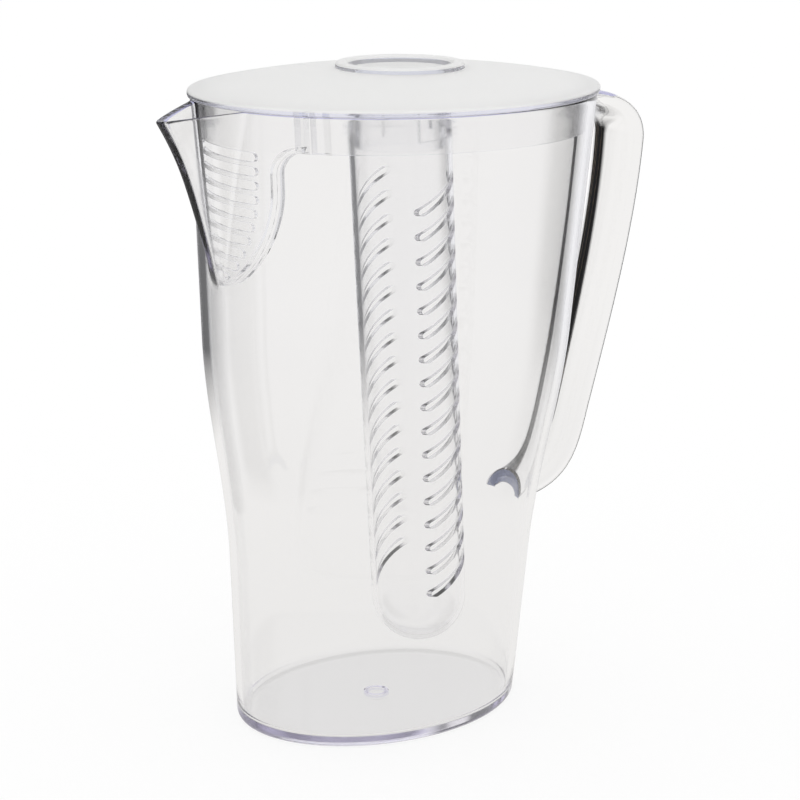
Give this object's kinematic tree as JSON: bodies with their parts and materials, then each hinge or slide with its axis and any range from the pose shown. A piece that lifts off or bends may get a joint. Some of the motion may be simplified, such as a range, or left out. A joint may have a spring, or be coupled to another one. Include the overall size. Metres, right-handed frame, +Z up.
{
  "type": "fruit infuser pitcher",
  "caption": "Clear oval pitcher with a flared rim, pouring spout and strap handle, a frosted strainer lid and a slotted infuser tube that hangs from the lid.",
  "frame": {"origin": "centre of the jug's flat oval underside", "axes": "+Z up, +X towards the handle, -X towards the spout"},
  "size_m": [0.2135, 0.1482, 0.2614],
  "materials": {
    "clear_jug": "clear, polished",
    "frosted_lid": "translucent, fine satin top",
    "clear_tube": "clear, polished"
  },
  "bodies": {
    "jug": {"jug": "clear_jug"},
    "lid": {"lid": "frosted_lid"},
    "infuser_tube": {"infuser_tube": "clear_tube"}
  },
  "joints": [
    {"name": "lid_lift", "type": "slide", "parent": "jug", "child": "lid", "axis": [0, 0, 1], "range_m": [0, 0.235]},
    {"name": "tube_turn", "type": "hinge", "parent": "lid", "child": "infuser_tube", "pos_m": [0.0115, 0, 0.2349], "axis": [-0.034, 0.0213, 0.9992], "range_deg": [0, 60]}
  ]
}
